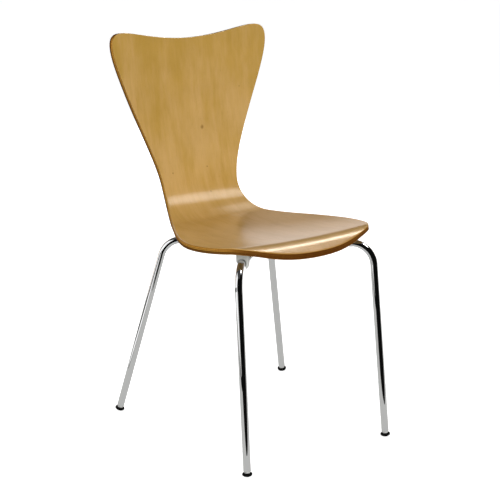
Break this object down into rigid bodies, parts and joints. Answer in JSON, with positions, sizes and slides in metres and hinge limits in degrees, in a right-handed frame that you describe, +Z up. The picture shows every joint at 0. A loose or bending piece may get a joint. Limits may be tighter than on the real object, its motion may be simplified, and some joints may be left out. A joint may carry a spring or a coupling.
{
  "type": "stacking chair",
  "caption": "Stacking chair: a one-piece moulded plywood seat and back with a narrow waist, on splayed bent chrome tube legs with domed black caps.",
  "frame": {"origin": "on the floor, at the centre of the chair's footprint box", "axes": "+Z up, the sitter faces -Y, +X to the sitter's left"},
  "size_m": [0.4866, 0.5412, 0.8696],
  "materials": {
    "face_veneer": "honey-coloured veneer with fine lengthwise grain, clear satin lacquer",
    "cross_plies": "banded plywood edge, lacquered",
    "back_veneer": "honey-coloured veneer with fine lengthwise grain, clear satin lacquer",
    "block_plywood": "plain plywood",
    "zinc": "zinc plated",
    "black_steel": "black powder coat",
    "chrome": "bright chrome plate",
    "weld": "plated weld",
    "black_plastic": "moulded, fine texture",
    "clear_plastic": "translucent white polyethylene",
    "nylon": "natural nylon",
    "glide_black": "black, satin gloss"
  },
  "bodies": {
    "root": {"face_veneer": "face_veneer", "shell_core": "cross_plies", "back_veneer": "back_veneer", "mounting_block": "block_plywood", "threaded_inserts": "zinc", "mounting_plate": "black_steel", "front_leg_tube": "chrome", "rear_leg_tube": "chrome", "weld_beads": "weld", "screw_washers": "zinc", "mounting_screws": "zinc", "underseat_cover": "black_plastic", "cover_screw": "zinc", "bumper_front_left": "clear_plastic", "glide_stem_front_left": "nylon", "glide_cap_front_left": "glide_black", "bumper_front_right": "clear_plastic", "glide_stem_front_right": "nylon", "glide_cap_front_right": "glide_black", "bumper_rear_left": "clear_plastic", "glide_stem_rear_left": "nylon", "glide_cap_rear_left": "glide_black", "bumper_rear_right": "clear_plastic", "glide_stem_rear_right": "nylon", "glide_cap_rear_right": "glide_black"}
  },
  "joints": []
}
